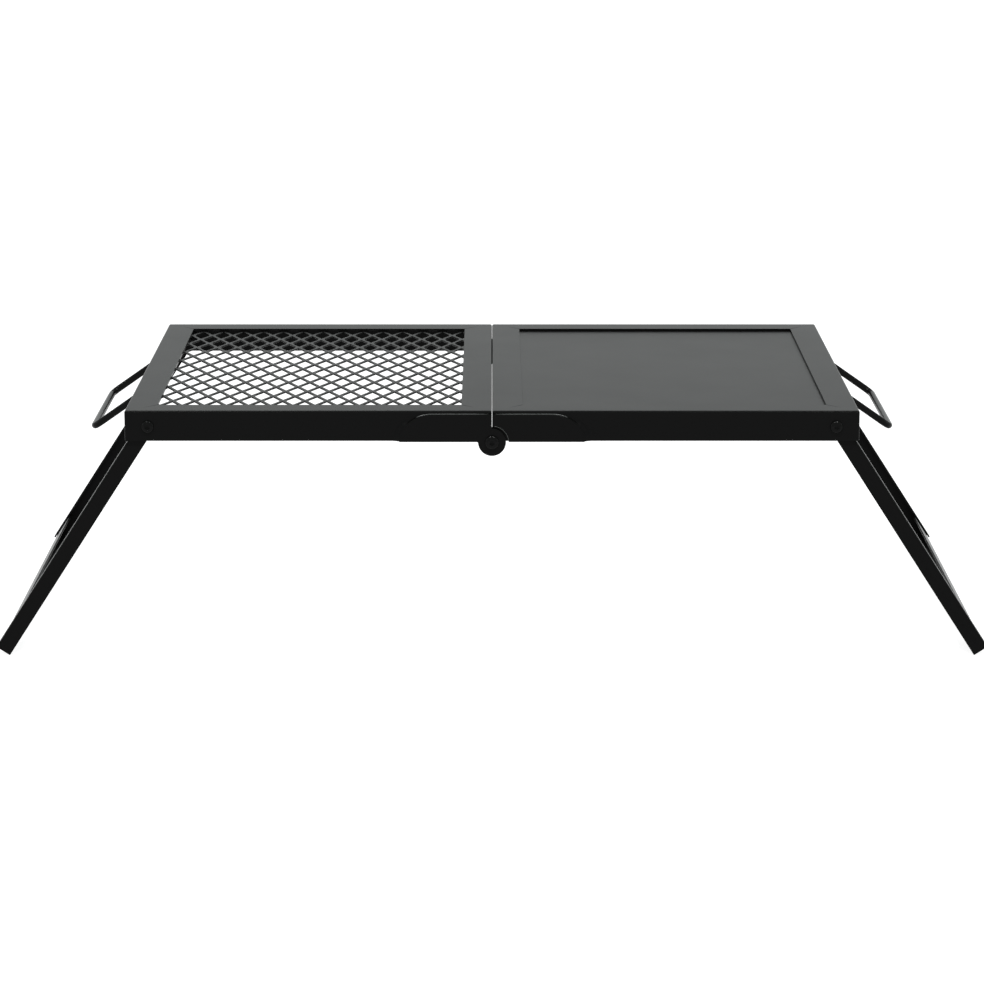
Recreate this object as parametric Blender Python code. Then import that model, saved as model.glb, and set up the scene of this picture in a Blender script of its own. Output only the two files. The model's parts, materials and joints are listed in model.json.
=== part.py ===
"""Folding camp grill: a grate half and a griddle half that fold together on a common hinge, on splayed legs.

Metres, +Z up. The origin is on the ground, below the middle of the top. X runs along the top, -Y is the front.
"""

import math

import bmesh
import bpy

# Sizes over all
TOP_LENGTH = 0.610
TOP_DEPTH = 0.4064
TOP_HEIGHT = 0.2108

# The two frames, mitred and welded from steel angle
SHEET = 0.002
SKIRT = 0.0254
FLANGE = 0.0254
BEND_RADIUS = 0.0016
BEND_STEPS = 3
HALF_GAP = 0.0003

# Clearances: between pieces that bear on each other, round a shank, and past a face that a cutter goes through
SEAT = 0.0003
RUNNING = 0.0003
OVERRUN = 0.004

# Grate and griddle plate, welded up under the flanges
PANEL_LAP = 0.008
PLATE = 0.002
PLATE_RISE = 0.0003
PLATE_CORNER = 0.004
CORNER_STEPS = 4

# Expanded metal, rolled flat: the short way of the diamonds runs along X, the long way along Y
MESH_SHORT_WAY = 0.01861
MESH_LONG_WAY = 0.04054
MESH_STRAND = 0.0030
MESH_SHEET = 0.0012
MESH_BOND = 0.0066
MESH_FIRST_BOND = 0.0021
MESH_ROW = 0.1762

# Centre hinge: the axis lies just under the skirts, so the undersides close on each other
FOLD_DROP = 0.0261
HINGE_PLATE = 0.0022
HINGE_PLATE_REACH = 0.077
HINGE_PLATE_TOP_DROP = 0.0028
HINGE_PLATE_LIFT = 0.0002
HINGE_PLATE_SWEEP = 0.027
HINGE_EAR = 0.0116
HINGE_EAR_FILLET = 0.001
HINGE_RELIEF = 0.0022
HINGE_LUG_REACH = 0.045
HINGE_LUG_TOP_DROP = 0.008
HINGE_LUG_LIFT = 0.0012
HINGE_LUG_CORNER = 0.004
HINGE_WALL_CLEAR = 0.0007
HINGE_NOTCH_CLEAR = 0.001
EAR_STEPS = 28

# Legs: an angle-section arm at the front and rear of each end, joined at the foot by a crossbar
LEG_SPLAY = math.radians(32.9)
LEG_INSET = 0.0192
LEG_DROP = 0.0134
ARM_SHEET = 0.0015
ARM_INNER = 0.0059
ARM_FLANGE = 0.012
ARM_HEAD = 0.008
ARM_HEAD_CORNER = 0.005
ARM_FLANGE_START = 0.010
ARM_GAP = 0.0004
CROSSBAR_HEIGHT = 0.025
CROSSBAR_SHEET = 0.0015
ANGLE_BEND = 0.0020
ANGLE_BEND_STEPS = 3

# Handles: one bent rod each, hooked through two slots in the end wall
ROD = 0.006
HANDLE_GRIP = 0.150
HANDLE_OUT = 0.0403
HANDLE_DROP = 0.0085
HANDLE_DROOP = math.radians(35)
HANDLE_BEND = 0.008
HANDLE_HOOK = 0.012
HANDLE_HOOK_BEND = 0.004
HANDLE_SLOT_CLEAR = 0.0006
HANDLE_BEND_STEPS = 5
ROD_BEVEL_RESOLUTION = 4

# Screws, washers and lock nuts
SHANK = 0.006
BOLT_PROUD = 0.0012
LEG_HEAD = 0.0105
LEG_HEAD_HEIGHT = 0.0029
HINGE_HEAD = 0.0117
HINGE_HEAD_HEIGHT = 0.0032
HEAD_RIM = 0.0006
SOCKET = 0.004
SOCKET_DEPTH = 0.0018
WASHER = 0.0110
WASHER_THICKNESS = 0.0010
SPACER = 0.014
NUT = 0.010
NUT_HEIGHT = 0.006
NUT_CHAMFER = 0.0008
NUT_COLLAR = 0.0014
TURNED_STEPS = 16
DOME_STEPS = 4

# Finishes: linear colour, roughness and metallic value
COATED_STEEL = ((0.020, 0.021, 0.020), 0.38, 0.0)
SEASONED_PLATE = ((0.026, 0.028, 0.027), 0.45, 0.0)
BLACK_ROD = ((0.022, 0.022, 0.022), 0.25, 0.0)
BLACKENED_FASTENER = ((0.030, 0.030, 0.032), 0.35, 0.6)

# What follows from them
HALF_LENGTH = TOP_LENGTH / 2
HALF_DEPTH = TOP_DEPTH / 2
INNER_END = HALF_GAP / 2
FOLD_HEIGHT = TOP_HEIGHT - FOLD_DROP
TOP_Z = FOLD_DROP
SKIRT_Z = FOLD_DROP - SKIRT
PANEL_TOP = TOP_Z - SHEET - SEAT
LEG_X = HALF_LENGTH - LEG_INSET
LEG_Z = FOLD_DROP - LEG_DROP
HOLE = SHANK / 2 + RUNNING


def stop_distance():
    """How far the end wall's lower inner edge lies from the leg's centre line when the leg is splayed."""
    across = (LEG_INSET - SHEET) * math.cos(LEG_SPLAY)
    return across - (SKIRT - LEG_DROP) * math.sin(LEG_SPLAY)


ARM_OUTER = stop_distance() - SEAT
LEG_LENGTH = (TOP_HEIGHT - LEG_DROP - ARM_INNER * math.sin(LEG_SPLAY)) / math.cos(LEG_SPLAY)
HOOK_INSET = SHEET + SEAT + ROD / 2
HANDLE_REACH = (HANDLE_OUT + HOOK_INSET) / math.cos(HANDLE_DROOP)


def clear_scene():
    for obj in list(bpy.data.objects):
        bpy.data.objects.remove(obj, do_unlink=True)


def arc(centre, radii, start, stop, steps):
    """Points along an ellipse from the start angle to the stop angle, in degrees, both ends included."""
    angles = [math.radians(start + (stop - start) * i / steps) for i in range(steps + 1)]
    return [(centre[0] + radii[0] * math.cos(a), centre[1] + radii[1] * math.sin(a)) for a in angles]


def mirrored(outline, side):
    return [(side * x, z) for x, z in outline]


def box(low, high):
    shape = bmesh.new()
    bmesh.ops.create_cube(shape, size=1.0)
    bmesh.ops.scale(shape, vec=[h - l for l, h in zip(low, high)], verts=shape.verts)
    bmesh.ops.translate(shape, vec=[(l + h) / 2 for l, h in zip(low, high)], verts=shape.verts)
    return shape


def prism(outline, axis, start, stop):
    """A closed outline carried straight along X, Y or Z. The outline's pairs are the other two axes in order."""
    spot = "XYZ".index(axis)
    shape = bmesh.new()
    ring = []
    for pair in outline:
        point = list(pair)
        point.insert(spot, start)
        ring.append(shape.verts.new(point))
    grown = bmesh.ops.extrude_face_region(shape, geom=[shape.faces.new(ring)])
    travel = [0.0, 0.0, 0.0]
    travel[spot] = stop - start
    moved = [item for item in grown["geom"] if isinstance(item, bmesh.types.BMVert)]
    bmesh.ops.translate(shape, vec=travel, verts=moved)
    bmesh.ops.recalc_face_normals(shape, faces=shape.faces)
    return shape


def turned(profile, closed):
    """A profile of radius and distance along Y, spun round the Y axis."""
    shape = bmesh.new()
    verts = [shape.verts.new((radius, along, 0.0)) for radius, along in profile]
    pairs = list(zip(verts, verts[1:]))
    if closed:
        pairs.append((verts[-1], verts[0]))
    edges = [shape.edges.new(pair) for pair in pairs]
    bmesh.ops.spin(
        shape, geom=verts + edges, cent=(0, 0, 0), axis=(0, 1, 0), angle=math.tau, steps=TURNED_STEPS, use_merge=True
    )
    bmesh.ops.remove_doubles(shape, verts=shape.verts, dist=1e-6)
    bmesh.ops.recalc_face_normals(shape, faces=shape.faces)
    return shape


def add_empty(name, location, turn=0.0, parent=None):
    """An empty on a joint's axis. The turn is about Y."""
    empty = bpy.data.objects.new(name, None)
    empty.empty_display_size = 0.02
    empty.location = location
    empty.rotation_euler = (0.0, turn, 0.0)
    empty.parent = parent
    bpy.context.scene.collection.objects.link(empty)
    return empty


def add_object(name, shape, parent, location=(0, 0, 0), turn=0.0):
    """A mesh object from a bmesh. The turn is about Z."""
    mesh = bpy.data.meshes.new(name)
    shape.to_mesh(mesh)
    shape.free()
    obj = bpy.data.objects.new(name, mesh)
    obj.location = location
    obj.rotation_euler = (0.0, 0.0, turn)
    obj.parent = parent
    bpy.context.scene.collection.objects.link(obj)
    return obj


def add_cutter(name, shape, parent, location=(0, 0, 0), turn=0.0):
    cutter = add_object(name, shape, parent, location, turn)
    cutter.hide_render = True
    cutter.display_type = "WIRE"
    return cutter


def combine(obj, other, operation="DIFFERENCE"):
    modifier = obj.modifiers.new(other.name, "BOOLEAN")
    modifier.operation = operation
    modifier.solver = "EXACT"
    modifier.object = other


def finish(obj, look):
    colour, roughness, metallic = look
    material = bpy.data.materials.new(obj.name)
    material.use_nodes = True
    shader = material.node_tree.nodes["Principled BSDF"]
    shader.inputs["Base Color"].default_value = (*colour, 1.0)
    shader.inputs["Roughness"].default_value = roughness
    shader.inputs["Metallic"].default_value = metallic
    obj.data.materials.append(material)


def smooth(obj):
    obj.data.shade_smooth()
    obj.data.set_sharp_from_angle(angle=math.radians(35))


def end_name(end):
    return "front" if end < 0 else "rear"


def side_name(side):
    return "left" if side < 0 else "right"


def depth_at(end, inward):
    """The Y place of a depth measured inward from the front or rear skirt's outer face."""
    return end * (HALF_DEPTH - inward)


def stack(start, thicknesses):
    """Where each piece of a stack begins, one behind the other with a seat gap between them."""
    places = []
    for thickness in thicknesses:
        places.append(start)
        start += thickness + SEAT
    return places


def frame_blank(side):
    """The outer block of a half, with the bends rounded along the top and down the four corners."""
    xs = sorted((side * INNER_END, side * HALF_LENGTH))
    shape = box((xs[0], -HALF_DEPTH, SKIRT_Z), (xs[1], HALF_DEPTH, TOP_Z))
    top_verts = {v for v in shape.verts if v.co.z > (SKIRT_Z + TOP_Z) / 2}
    bends = [e for e in shape.edges if e.verts[0] in top_verts or e.verts[1] in top_verts]
    bmesh.ops.bevel(
        shape, geom=bends, offset=BEND_RADIUS, segments=BEND_STEPS, profile=0.5, affect="EDGES", clamp_overlap=True
    )
    return shape


def inset_box(side, inset, low, high):
    """A box inside a half, inset from its four outer sides."""
    xs = sorted((side * (INNER_END + inset), side * (HALF_LENGTH - inset)))
    return box((xs[0], -HALF_DEPTH + inset, low), (xs[1], HALF_DEPTH - inset, high))


def hinge_notch():
    """Turned cutter that clears the spacer in the skirt, and behind it the lug, washer and nut in the inner wall."""
    narrow = SPACER / 2 + HINGE_NOTCH_CLEAR
    wide = HINGE_EAR + HINGE_NOTCH_CLEAR
    step = SHEET + SEAT / 2
    deep = hinge_stack()["bolt_end"] + HINGE_NOTCH_CLEAR
    return turned([(0, -OVERRUN), (narrow, -OVERRUN), (narrow, step), (wide, step), (wide, deep), (0, deep)], False)


def handle_slot(side):
    """Obround slot that a handle rod tips in, from its droop up to straight out."""
    radius = ROD / 2 + HANDLE_SLOT_CLEAR
    droop = HOOK_INSET * math.tan(HANDLE_DROOP) + ROD / 2 / math.cos(HANDLE_DROOP)
    low = radius - droop - SEAT
    high = ROD / 2 + SEAT - radius
    outline = arc((0, high), (radius, radius), 0, 180, 2 * CORNER_STEPS)
    outline += arc((0, low), (radius, radius), 180, 360, 2 * CORNER_STEPS)
    ends = sorted((side * (HALF_LENGTH + OVERRUN), side * (HALF_LENGTH - SHEET - OVERRUN)))
    return prism(outline, "X", ends[0], ends[1])


def add_frame(name, side, half):
    frame = add_object(name, frame_blank(side), half)
    cavity = inset_box(side, SHEET, SKIRT_Z - OVERRUN, TOP_Z - SHEET)
    combine(frame, add_cutter(name + "_cavity", cavity, half))
    window = inset_box(side, FLANGE, SKIRT_Z - OVERRUN, TOP_Z + OVERRUN)
    combine(frame, add_cutter(name + "_window", window, half))
    bore = turned([(0, -HALF_DEPTH - OVERRUN), (HOLE, -HALF_DEPTH - OVERRUN), (HOLE, HALF_DEPTH + OVERRUN),
                   (0, HALF_DEPTH + OVERRUN)], False)
    combine(frame, add_cutter(name + "_leg_bore", bore, half, (side * LEG_X, 0, LEG_Z)))
    for end in (-1, 1):
        turn = 0.0 if end < 0 else math.pi
        notch = add_cutter(f"{name}_notch_{end_name(end)}", hinge_notch(), half, (0, depth_at(end, 0), 0), turn)
        combine(frame, notch)
        spot = (0, end * HANDLE_GRIP / 2, TOP_Z - HANDLE_DROP)
        combine(frame, add_cutter(f"{name}_slot_{end_name(end)}", handle_slot(side), half, spot))
    finish(frame, COATED_STEEL)
    return frame


def add_griddle_plate(half):
    """Flat cooking plate with rounded corners, seated under the right half's flange.

    What shows of it in the opening is pressed up a little from the rim that the flange covers.
    """
    low = PANEL_TOP - PLATE
    shape = inset_box(1, FLANGE - PANEL_LAP, low, PANEL_TOP)
    shape.normal_update()
    top = [face for face in shape.faces if face.normal.z > 0.5]
    bmesh.ops.inset_individual(
        shape, faces=top, thickness=PANEL_LAP + SEAT, depth=PLATE_RISE, use_even_offset=True
    )
    corners = [e for e in shape.edges if abs(e.verts[0].co.z - e.verts[1].co.z) > PLATE / 2]
    bmesh.ops.bevel(
        shape, geom=corners, offset=PLATE_CORNER, segments=CORNER_STEPS, profile=0.5, affect="EDGES"
    )
    finish(add_object("griddle_plate", shape, half), SEASONED_PLATE)


def strand_stations(reach):
    """Pairs of a Y place and the swing there, from -1 to 1: level along each bond, straight from bond to bond."""
    half_way = MESH_LONG_WAY / 2
    first = math.floor((-reach - MESH_ROW) / half_way) - 1
    last = math.ceil((reach - MESH_ROW) / half_way) + 1
    corners = []
    for row in range(first, last + 1):
        swing = 1.0 if row % 2 == 0 else -1.0
        centre = MESH_ROW + row * half_way
        corners += [(centre - MESH_BOND / 2, swing), (centre + MESH_BOND / 2, swing)]
    inside = [point for point in corners if -reach < point[0] < reach]
    return [swing_at(corners, -reach)] + inside + [swing_at(corners, reach)]


def swing_at(corners, place):
    for (y0, s0), (y1, s1) in zip(corners, corners[1:]):
        if y0 <= place <= y1:
            return (place, s0 + (s1 - s0) * (place - y0) / (y1 - y0))
    raise ValueError("place outside the strand")


def strand_edge(centre, swing, edge):
    """X of one edge of a strand, which it shares with the next strand at each bond."""
    sideways = (MESH_SHORT_WAY / 2 - MESH_STRAND) / 2
    return centre + sideways * swing + edge * MESH_STRAND / 2


def add_expanded_grate(half):
    """Slit, stretched and flattened sheet: zigzag strands that meet at bonds, cut off under the left flange."""
    reach = HALF_DEPTH - FLANGE + PANEL_LAP
    stations = strand_stations(reach)
    first = -(INNER_END + FLANGE + MESH_FIRST_BOND) + MESH_SHORT_WAY / 4
    outermost = -(HALF_LENGTH - FLANGE + PANEL_LAP)
    count = math.floor((first - outermost) / (MESH_SHORT_WAY / 2)) + 1
    shape = bmesh.new()
    for strand in range(count):
        centre = first - strand * MESH_SHORT_WAY / 2
        flip = -1.0 if strand % 2 == 0 else 1.0
        rows = []
        for y, swing in stations:
            edges = [strand_edge(centre, flip * swing, edge) for edge in (-1, 1)]
            rows.append([shape.verts.new((x, y, PANEL_TOP)) for x in edges])
        for (a, b), (c, d) in zip(rows, rows[1:]):
            shape.faces.new((a, b, d, c))
    bmesh.ops.remove_doubles(shape, verts=shape.verts, dist=1e-6)
    grown = bmesh.ops.extrude_face_region(shape, geom=shape.faces[:])
    lower = [item for item in grown["geom"] if isinstance(item, bmesh.types.BMVert)]
    bmesh.ops.translate(shape, vec=(0, 0, -MESH_SHEET), verts=lower)
    bmesh.ops.recalc_face_normals(shape, faces=shape.faces)
    finish(add_object("expanded_grate", shape, half), COATED_STEEL)


def hinge_stack():
    """Depths inward from a skirt's outer face of what the hinge screw holds."""
    outer = -SEAT - HINGE_PLATE
    inner = stack(SHEET + SEAT, (HINGE_PLATE, WASHER_THICKNESS, NUT_HEIGHT))
    return {
        "plate": outer, "head": outer - SEAT, "spacer": 0.0, "lug": inner[0], "washer": inner[1],
        "nut": inner[2], "bolt_end": inner[2] + NUT_HEIGHT + BOLT_PROUD,
    }


def leg_stack():
    """Depths inward from a skirt's outer face of what a leg screw holds."""
    inner = stack(SHEET + ARM_GAP, (ARM_SHEET, WASHER_THICKNESS, NUT_HEIGHT))
    return {
        "head": -SEAT, "arm": inner[0], "washer": inner[1], "nut": inner[2],
        "bolt_end": inner[2] + NUT_HEIGHT + BOLT_PROUD,
    }


def swept_end():
    """The hinge plate's outer end, falling in a long flat curve from the top edge to the bottom corner."""
    top = TOP_Z - HINGE_PLATE_TOP_DROP
    centre = (HINGE_PLATE_REACH - HINGE_PLATE_SWEEP, HINGE_PLATE_LIFT)
    return arc(centre, (HINGE_PLATE_SWEEP, top - HINGE_PLATE_LIFT), 90, 0, 2 * CORNER_STEPS)


def eared_outline():
    """Hinge plate whose ear is a disc round the fold axis, with a small fillet into the bottom edge."""
    drop = HINGE_PLATE_LIFT - HINGE_EAR_FILLET
    centre = (math.sqrt((HINGE_EAR + HINGE_EAR_FILLET) ** 2 - drop**2), drop)
    lean = math.degrees(math.atan2(drop, centre[0]))
    fillet = arc(centre, (HINGE_EAR_FILLET, HINGE_EAR_FILLET), 90, 180 + lean, 3)
    last = math.degrees(math.acos(INNER_END / HINGE_EAR)) - 360
    ear = arc((0, 0), (HINGE_EAR, HINGE_EAR), lean, last, EAR_STEPS)
    return [(INNER_END, TOP_Z - HINGE_PLATE_TOP_DROP)] + swept_end() + fillet + ear[1:]


def relieved_outline():
    """The other hinge plate, with a round bite that the ear turns in."""
    relief = HINGE_EAR + HINGE_RELIEF
    low = math.degrees(math.asin(HINGE_PLATE_LIFT / relief))
    high = math.degrees(math.acos(INNER_END / relief))
    bite = arc((0, 0), (relief, relief), low, high, 2 * CORNER_STEPS)
    return [(INNER_END, TOP_Z - HINGE_PLATE_TOP_DROP)] + swept_end() + bite


def lug_outline():
    """Inner strap with a round ear on the fold axis, which passes through the notch in the inner wall."""
    start = INNER_END + SHEET + HINGE_WALL_CLEAR
    top = TOP_Z - HINGE_LUG_TOP_DROP
    corner = (HINGE_LUG_CORNER, HINGE_LUG_CORNER)
    first = math.degrees(math.acos(start / HINGE_EAR))
    last = 360 + math.degrees(math.asin(HINGE_LUG_LIFT / HINGE_EAR))
    ear = arc((0, 0), (HINGE_EAR, HINGE_EAR), first, last, EAR_STEPS)
    low = arc((HINGE_LUG_REACH - corner[0], HINGE_LUG_LIFT + corner[1]), corner, -90, 0, CORNER_STEPS)
    high = arc((HINGE_LUG_REACH - corner[0], top - corner[1]), corner, 0, 90, CORNER_STEPS)
    return [(start, top)] + ear + low + high


def bored_plate(name, outline, inward, half, end, look):
    """A flat hinge piece parallel to the skirt, bored on the fold axis."""
    faces = sorted((depth_at(end, inward), depth_at(end, inward + HINGE_PLATE)))
    plate = add_object(name, prism(outline, "Y", faces[0], faces[1]), half)
    ends = (faces[0] - OVERRUN, faces[1] + OVERRUN)
    bore = turned([(0, ends[0]), (HOLE, ends[0]), (HOLE, ends[1]), (0, ends[1])], False)
    combine(plate, add_cutter(name + "_bore", bore, half))
    finish(plate, look)


def add_hinge(end, grill_half, griddle_half):
    word = end_name(end)
    depths = hinge_stack()
    bored_plate(f"hinge_plate_{word}", mirrored(eared_outline(), -1), depths["plate"], grill_half, end, COATED_STEEL)
    faces = sorted((depth_at(end, depths["plate"]), depth_at(end, depths["plate"] + HINGE_PLATE)))
    relieved = prism(relieved_outline(), "Y", faces[0], faces[1])
    finish(add_object(f"hinge_backing_{word}", relieved, griddle_half), COATED_STEEL)
    bored_plate(f"hinge_lug_{word}", lug_outline(), depths["lug"], griddle_half, end, COATED_STEEL)
    shank = depths["bolt_end"] - depths["head"]
    names = {part: f"hinge_{part}_{word}" for part in ("screw", "spacer", "washer", "nut")}
    add_screw(names["screw"], HINGE_HEAD, HINGE_HEAD_HEIGHT, shank, grill_half, (0, depths["head"], 0), end)
    add_ring(names["spacer"], SPACER, SHEET, grill_half, (0, depths["spacer"], 0), end)
    add_ring(names["washer"], WASHER, WASHER_THICKNESS, grill_half, (0, depths["washer"], 0), end)
    add_nut(names["nut"], grill_half, (0, depths["nut"], 0), end)


def facing(spot, end):
    """Location and turn of a fastener whose local +Y points inward from the front or rear skirt."""
    x, inward, z = spot
    return (x, depth_at(end, inward), z), (0.0 if end < 0 else math.pi)


def add_screw(name, head, height, shank, parent, spot, end):
    """Button-head socket screw: local origin under the head, shank along +Y."""
    rim = [(head / 2, 0.0), (head / 2, -HEAD_RIM)]
    dome = arc((0, 0), (head / 2, height - HEAD_RIM), 0, 90, DOME_STEPS)
    crown = [(x, -HEAD_RIM - z) for x, z in dome[1:-1]] + [(0.0, -height)]
    profile = [(0.0, shank), (SHANK / 2, shank), (SHANK / 2, 0.0)] + rim + crown
    location, turn = facing(spot, end)
    screw = add_object(name, turned(profile, False), parent, location, turn)
    corner = SOCKET / math.sqrt(3)
    hexagon = arc((0, 0), (corner, corner), 0, 300, 5)
    socket = prism(hexagon, "Y", -height - OVERRUN, -height + SOCKET_DEPTH)
    combine(screw, add_cutter(name + "_socket", socket, parent, location, turn))
    finish(screw, BLACKENED_FASTENER)
    smooth(screw)


def add_ring(name, width, thickness, parent, spot, end):
    profile = [(HOLE, 0.0), (HOLE, thickness), (width / 2, thickness), (width / 2, 0.0)]
    location, turn = facing(spot, end)
    ring = add_object(name, turned(profile, True), parent, location, turn)
    finish(ring, BLACKENED_FASTENER)
    smooth(ring)


def add_nut(name, parent, spot, end):
    """Lock nut: a hexagon whose corners are turned off, and a round collar on its inner face."""
    location, turn = facing(spot, end)
    corner = NUT / math.sqrt(3)
    hexagon = arc((0, 0), (corner, corner), 0, 300, 5)
    nut = add_object(name, prism(hexagon, "Y", 0.0, NUT_HEIGHT + OVERRUN), parent, location, turn)
    shoulder = NUT_HEIGHT - NUT_COLLAR
    profile = [
        (0, -OVERRUN), (NUT / 2, -OVERRUN), (NUT / 2, 0.0), (corner, NUT_CHAMFER), (corner, shoulder - NUT_CHAMFER),
        (NUT / 2, shoulder), (NUT / 2 - NUT_CHAMFER, NUT_HEIGHT), (0, NUT_HEIGHT),
    ]
    combine(nut, add_cutter(name + "_turning", turned(profile, False), parent, location, turn), "INTERSECT")
    bore = turned([(0, -OVERRUN), (HOLE, -OVERRUN), (HOLE, NUT_HEIGHT + OVERRUN), (0, NUT_HEIGHT + OVERRUN)], False)
    combine(nut, add_cutter(name + "_bore", bore, parent, location, turn))
    finish(nut, BLACKENED_FASTENER)
    smooth(nut)


def angle_outline():
    """Section of an arm at the front, outer side to +X: the plate runs along X, the flange goes back along Y."""
    face = depth_at(-1, leg_stack()["arm"])
    bend = arc((ARM_OUTER - ANGLE_BEND, face + ANGLE_BEND), (ANGLE_BEND, ANGLE_BEND), -90, 0, ANGLE_BEND_STEPS)
    return [(-ARM_INNER, face)] + bend + [
        (ARM_OUTER, face + ARM_FLANGE), (ARM_OUTER - ARM_SHEET, face + ARM_FLANGE),
        (ARM_OUTER - ARM_SHEET, face + ARM_SHEET), (-ARM_INNER, face + ARM_SHEET),
    ]


def head_trim(side):
    """Cutter round the arm's head, leaving its two corners rounded."""
    shoulder = ARM_HEAD - ARM_HEAD_CORNER
    corner = (ARM_HEAD_CORNER, ARM_HEAD_CORNER)
    beyond = ARM_OUTER + OVERRUN
    rounded = arc((ARM_OUTER - corner[0], shoulder), corner, 0, 90, CORNER_STEPS)
    rounded += arc((-ARM_INNER + corner[0], shoulder), corner, 90, 180, CORNER_STEPS)
    outline = [(beyond, shoulder)] + rounded + [
        (-beyond, shoulder), (-beyond, ARM_HEAD + OVERRUN), (beyond, ARM_HEAD + OVERRUN)
    ]
    return prism(mirrored(outline, side), "Y", -HALF_DEPTH, HALF_DEPTH)


def flange_trim(side, end):
    """Cutter that ends the arm's flange short of the pivot, so that it turns clear inside the frame."""
    inner = leg_stack()["arm"] + ARM_SHEET
    ys = sorted((depth_at(end, inner), depth_at(end, inner + ARM_FLANGE)))
    xs = sorted((side * (-ARM_INNER - OVERRUN), side * (ARM_OUTER + OVERRUN)))
    return box((xs[0], ys[0], -ARM_FLANGE_START), (xs[1], ys[1], ARM_HEAD + OVERRUN))


def add_arm(side, end, leg):
    """Leg arm, hanging straight down from its pivot in the leg's own frame."""
    name = f"{side_name(side)}_leg_arm_{end_name(end)}"
    outline = [(side * x, -end * y) for x, y in angle_outline()]
    arm = add_object(name, prism(outline, "Z", -LEG_LENGTH, ARM_HEAD), leg)
    combine(arm, add_cutter(name + "_head_trim", head_trim(side), leg))
    combine(arm, add_cutter(name + "_flange_trim", flange_trim(side, end), leg))
    bore = turned([(0, -HALF_DEPTH), (HOLE, -HALF_DEPTH), (HOLE, HALF_DEPTH), (0, HALF_DEPTH)], False)
    combine(arm, add_cutter(name + "_bore", bore, leg))
    finish(arm, COATED_STEEL)


def add_crossbar(side, leg):
    """Angle across the foot, lapped inside the flanges of both arms, its lower edge flush with their ends."""
    outer = ARM_OUTER - ARM_SHEET - SEAT
    foot = -LEG_LENGTH
    bend = arc((outer - ANGLE_BEND, foot + ANGLE_BEND), (ANGLE_BEND, ANGLE_BEND), -90, 0, ANGLE_BEND_STEPS)
    outline = [(-ARM_INNER, foot)] + bend + [
        (outer, foot + CROSSBAR_HEIGHT), (outer - CROSSBAR_SHEET, foot + CROSSBAR_HEIGHT),
        (outer - CROSSBAR_SHEET, foot + CROSSBAR_SHEET), (-ARM_INNER, foot + CROSSBAR_SHEET),
    ]
    reach = HALF_DEPTH - leg_stack()["arm"] - ARM_SHEET - SEAT
    crossbar = add_object(f"{side_name(side)}_leg_crossbar", prism(mirrored(outline, side), "Y", -reach, reach), leg)
    finish(crossbar, COATED_STEEL)


def add_leg(side, half):
    leg = add_empty(f"{side_name(side)}_leg_axis", (side * LEG_X, 0, LEG_Z), -side * LEG_SPLAY, half)
    depths = leg_stack()
    shank = depths["bolt_end"] - depths["head"]
    for end in (-1, 1):
        add_arm(side, end, leg)
        words = f"{side_name(side)}_{end_name(end)}"
        spots = {part: (side * LEG_X, depths[part], LEG_Z) for part in ("head", "washer", "nut")}
        add_screw(f"leg_screw_{words}", LEG_HEAD, LEG_HEAD_HEIGHT, shank, half, spots["head"], end)
        add_ring(f"leg_washer_{words}", WASHER, WASHER_THICKNESS, half, spots["washer"], end)
        add_nut(f"leg_nut_{words}", half, spots["nut"], end)
    add_crossbar(side, leg)


def rounded_path(corners, radii):
    """The corners joined by straight runs, each turned in an arc of its own radius. All turns are right angles."""
    path = [corners[0]]
    for before, corner, after, radius in zip(corners, corners[1:], corners[2:], radii):
        arrive = unit(before, corner)
        leave = unit(corner, after)
        centre = [c - radius * a + radius * b for c, a, b in zip(corner, arrive, leave)]
        for step in range(HANDLE_BEND_STEPS + 1):
            angle = math.pi / 2 * step / HANDLE_BEND_STEPS
            path.append([
                c - radius * b * math.cos(angle) + radius * a * math.sin(angle)
                for c, a, b in zip(centre, arrive, leave)
            ])
    return path + [corners[-1]]


def unit(start, stop):
    length = math.dist(start, stop)
    return [(b - a) / length for a, b in zip(start, stop)]


def add_handle(side, half):
    """Bent rod: a hook inside the end wall, out through a slot, along the grip, and back the same way."""
    spot = (side * (HALF_LENGTH - HOOK_INSET), 0, TOP_Z - HANDLE_DROP)
    axis = add_empty(f"{side_name(side)}_handle_axis", spot, side * HANDLE_DROOP, half)
    grip = HANDLE_GRIP / 2
    hook = grip + HANDLE_HOOK
    reach = side * HANDLE_REACH
    corners = [(0, -hook, 0), (0, -grip, 0), (reach, -grip, 0), (reach, grip, 0), (0, grip, 0), (0, hook, 0)]
    path = rounded_path(corners, (HANDLE_HOOK_BEND, HANDLE_BEND, HANDLE_BEND, HANDLE_HOOK_BEND))
    curve = bpy.data.curves.new(f"{side_name(side)}_handle", "CURVE")
    curve.dimensions = "3D"
    curve.bevel_depth = ROD / 2
    curve.bevel_resolution = ROD_BEVEL_RESOLUTION
    curve.use_fill_caps = True
    spline = curve.splines.new("POLY")
    spline.points.add(len(path) - 1)
    for point, place in zip(spline.points, path):
        point.co = (*place, 1.0)
    spline.use_smooth = True
    handle = bpy.data.objects.new(curve.name, curve)
    handle.parent = axis
    bpy.context.scene.collection.objects.link(handle)
    finish(handle, BLACK_ROD)


def main():
    clear_scene()
    grill_half = add_empty("grill_half_axis", (0, 0, FOLD_HEIGHT))
    griddle_half = add_empty("griddle_half_axis", (0, 0, FOLD_HEIGHT))
    add_frame("grill_frame", -1, grill_half)
    add_frame("griddle_frame", 1, griddle_half)
    add_expanded_grate(grill_half)
    add_griddle_plate(griddle_half)
    for end in (-1, 1):
        add_hinge(end, grill_half, griddle_half)
    for side, half in ((-1, grill_half), (1, griddle_half)):
        add_leg(side, half)
        add_handle(side, half)


main()
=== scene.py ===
"""Looks of the folding camp grill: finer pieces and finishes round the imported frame, and their studio."""
import json
import math

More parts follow.
